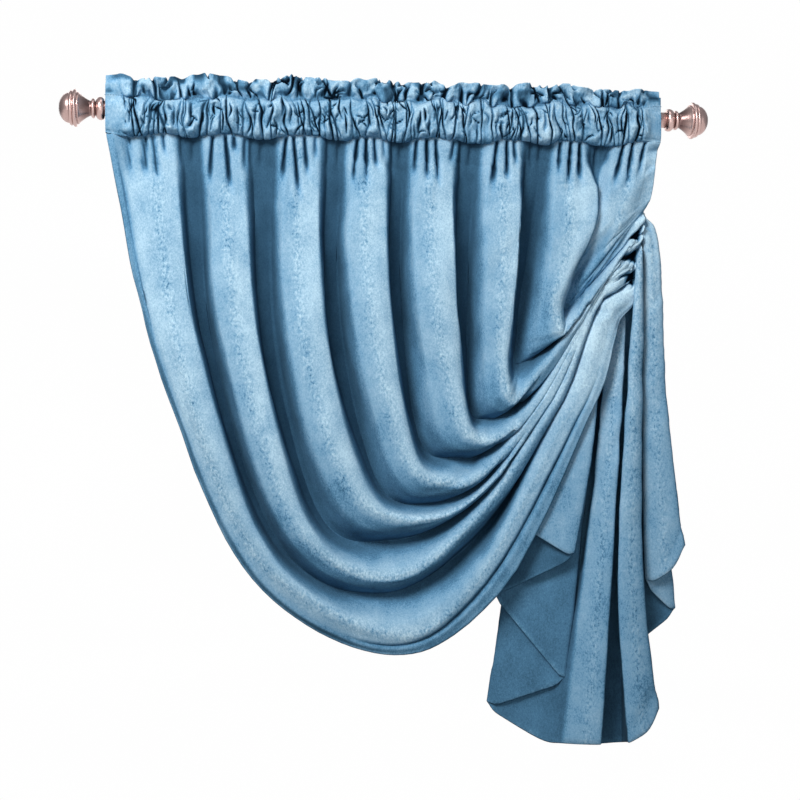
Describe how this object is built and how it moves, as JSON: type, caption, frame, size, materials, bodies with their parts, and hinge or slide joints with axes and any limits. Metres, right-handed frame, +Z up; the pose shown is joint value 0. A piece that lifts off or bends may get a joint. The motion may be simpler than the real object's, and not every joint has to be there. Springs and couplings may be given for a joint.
{
  "type": "swagged blackout curtain on a rod",
  "caption": "Plush blackout curtain with a ruffled rod pocket, drawn up at the right into a swag with a cascade tail, shirred on a round rod with turned finials.",
  "frame": {"origin": "on the rod's axis, midway along the rod", "axes": "+X along the rod to the right as seen from the room, +Y towards the wall, +Z up"},
  "size_m": [0.911, 0.0716, 0.9429],
  "materials": {
    "plush": "short plush pile, powder blue",
    "bronze": "satin rose bronze"
  },
  "bodies": {
    "root": {"rod": "bronze", "finial_left": "bronze", "finial_right": "bronze", "heading": "plush", "swag": "plush", "tail": "plush"}
  },
  "joints": []
}
